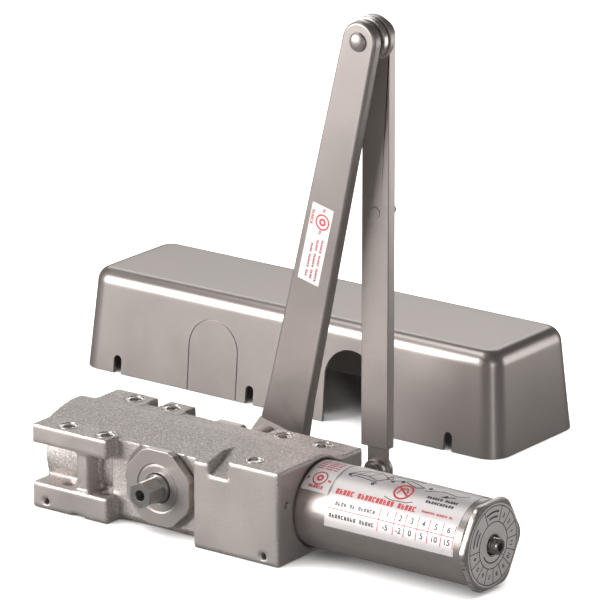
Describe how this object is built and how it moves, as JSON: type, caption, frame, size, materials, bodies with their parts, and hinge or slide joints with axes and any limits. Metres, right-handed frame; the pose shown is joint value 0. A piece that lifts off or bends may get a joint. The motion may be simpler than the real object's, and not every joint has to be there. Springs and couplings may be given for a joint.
{
  "type": "door closer",
  "caption": "Heavy-duty surface door closer with a rack-and-pinion body, spring tube, folding double-lever arm with foot, and a sheet-metal cover set down beside it.",
  "frame": {"origin": "on the body's mounting face, straight below the pinion axis and the cylinder axis", "axes": "+X along the cylinder towards the spring tube's adjusting end, +Y along the pinion towards the arm, +Z away from the surface that the body is screwed to"},
  "size_m": [0.4683, 0.3393, 0.3019],
  "materials": {
    "cast_body": "rough cast with smooth machined faces, all in warm silver paint",
    "painted_steel": "satin warm silver paint",
    "painted_cover": "satin warm silver paint",
    "machined_steel": "turned, painted over",
    "steel": "ground",
    "dark_steel": "dark oiled",
    "spring_steel": "oiled wire",
    "bushing_brass": "plain",
    "seal_rubber": "matte black",
    "printed_label": "printed film"
  },
  "bodies": {
    "closer_body": {"body_casting": "cast_body", "cylinder_end_plug": "steel", "end_plug_seal": "seal_rubber", "front_bearing_nut": "machined_steel", "front_pinion_bushing": "bushing_brass", "front_shaft_seal": "seal_rubber", "rear_bearing_nut": "machined_steel", "rear_pinion_bushing": "bushing_brass", "rear_shaft_seal": "seal_rubber", "spring_tube": "painted_steel", "tube_end_cap": "machined_steel", "thrust_washer": "steel", "dial_plate": "printed_label", "adjustment_chart_label": "printed_label", "rating_label": "printed_label", "passage_plug": "steel", "outer_spring": "spring_steel", "inner_spring": "spring_steel"},
    "pinion_and_main_arm": {"pinion_shaft": "steel", "main_arm": "painted_steel", "arm_washer": "steel", "arm_screw": "dark_steel", "elbow_rivet": "machined_steel", "elbow_disc": "machined_steel"},
    "forearm": {"forearm_channel": "painted_steel", "forearm_lock_screw": "steel", "lock_screw_washer": "steel", "elbow_spacer": "seal_rubber"},
    "forearm_extension": {"forearm_bar": "painted_steel"},
    "foot": {"foot_bracket": "painted_steel", "foot_pin": "steel", "foot_pin_clip": "dark_steel"},
    "piston_set": {"piston": "steel", "piston_seal": "seal_rubber", "check_valve_ball": "steel", "check_valve_retainer": "bushing_brass", "spring_follower": "steel"},
    "power_screw": {"adjusting_screw": "dark_steel"},
    "spring_seat": {"spring_seat_nut": "steel"},
    "backcheck_screw": {"backcheck_valve": "steel", "backcheck_valve_seal": "seal_rubber"},
    "sweep_screw": {"sweep_valve": "steel", "sweep_valve_seal": "seal_rubber"},
    "latch_screw": {"latch_valve": "steel", "latch_valve_seal": "seal_rubber"},
    "cover_shell": {"cover": "painted_cover"}
  },
  "joints": [
    {"name": "pinion_turn", "type": "hinge", "parent": "closer_body", "child": "pinion_and_main_arm", "pos_m": [0, 0, 0.029], "axis": [0, -1, 0], "range_deg": [0, 107], "stiffness_Nm_per_rad": 4, "springref_deg": -114.59},
    {"name": "elbow_fold", "type": "hinge", "parent": "pinion_and_main_arm", "child": "forearm", "pos_m": [0.05826, 0.099, 0.28793], "axis": [0, -1, 0], "range_deg": [-150, 5]},
    {"name": "forearm_length", "type": "slide", "parent": "forearm", "child": "forearm_extension", "axis": [0, 0, -1], "range_m": [-0.003, 0.045]},
    {"name": "foot_tilt", "type": "hinge", "parent": "forearm_extension", "child": "foot", "pos_m": [0.05826, 0.1077, 0.013], "axis": [0, 1, 0], "range_deg": [-85, 85]},
    {"name": "piston_travel", "type": "slide", "parent": "closer_body", "child": "piston_set", "axis": [1, 0, 0], "range_m": [0, 0.0169], "deforming": ["outer_spring", "inner_spring"]},
    {"name": "power_screw_turn", "type": "hinge", "parent": "closer_body", "child": "power_screw", "pos_m": [0.2, 0, 0.029], "axis": [-1, 0, 0], "range_deg": [-1801, 5401]},
    {"name": "spring_seat_travel", "type": "slide", "parent": "closer_body", "child": "spring_seat", "axis": [-1, 0, 0], "range_m": [-0.00875, 0.02625]},
    {"name": "backcheck_turn", "type": "hinge", "parent": "closer_body", "child": "backcheck_screw", "pos_m": [0.0676, -0.0298, 0.05], "axis": [0, 0, 1], "range_deg": [-360, 360]},
    {"name": "sweep_turn", "type": "hinge", "parent": "closer_body", "child": "sweep_screw", "pos_m": [-0.085, -0.024, 0.008], "axis": [-1, 0, 0], "range_deg": [-360, 360]},
    {"name": "latch_turn", "type": "hinge", "parent": "closer_body", "child": "latch_screw", "pos_m": [-0.085, 0.024, 0.008], "axis": [-1, 0, 0], "range_deg": [-360, 360]},
    {"name": "cover_lift", "type": "slide", "parent": "closer_body", "child": "cover_shell", "axis": [0, 0, 1], "range_m": [0, 0.12]}
  ],
  "couplings": [
    {"joint": "piston_travel", "follows": "pinion_turn", "m_per_rad": 0.009},
    {"joint": "power_screw_turn", "follows": "spring_seat_travel", "rad_per_m": 3590.4}
  ]
}
